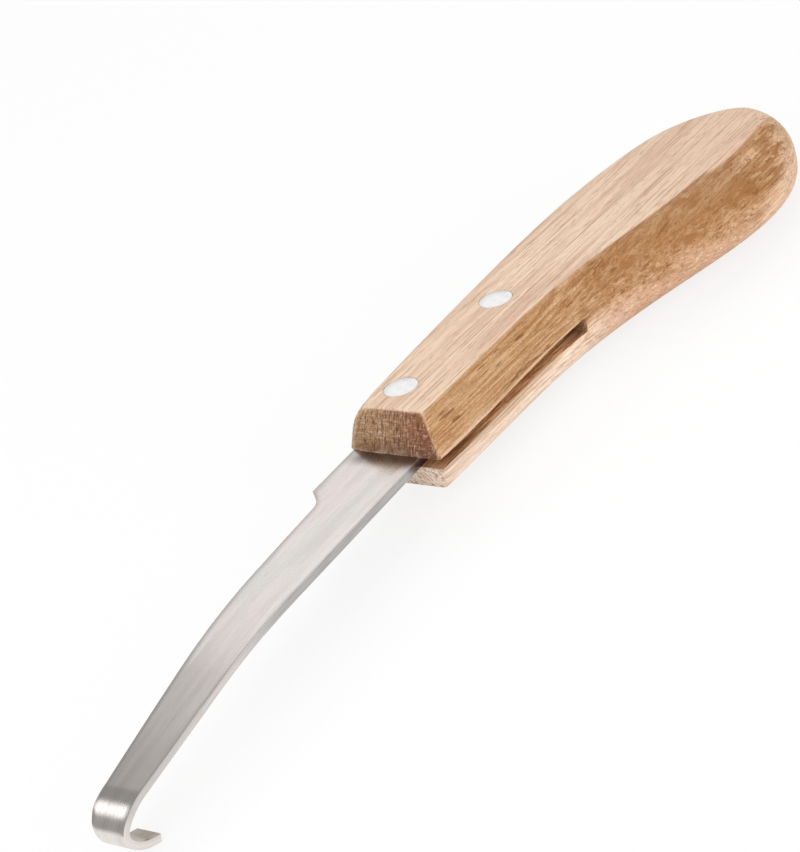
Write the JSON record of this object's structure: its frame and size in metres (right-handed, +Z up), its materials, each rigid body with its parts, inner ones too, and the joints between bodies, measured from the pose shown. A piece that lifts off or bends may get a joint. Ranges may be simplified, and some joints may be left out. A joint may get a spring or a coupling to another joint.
{
  "type": "hoof knife",
  "caption": "Farrier's hoof knife: a bent steel blade with a hooked tip and one ground edge, its tang riveted in the saw cut of a curved, faceted wooden handle.",
  "frame": {"origin": "middle of the underside of the knife's bounding box, lying on a table, hook down", "axes": "+X from the butt of the handle towards the hook, +Y across the blade towards its blunt edge and the palm swell, +Z up from the table"},
  "size_m": [0.2342, 0.0439, 0.0211],
  "materials": {
    "handle_wood": "sanded and oiled, satin",
    "blade_steel": "ground lengthwise, satin",
    "rivet_metal": "faced flush with the wood, fine brushing"
  },
  "bodies": {
    "root": {"handle": "handle_wood", "blade": "blade_steel", "front_rivet_post": "rivet_metal", "front_rivet_sleeve": "rivet_metal", "rear_rivet_post": "rivet_metal", "rear_rivet_sleeve": "rivet_metal"}
  },
  "joints": []
}
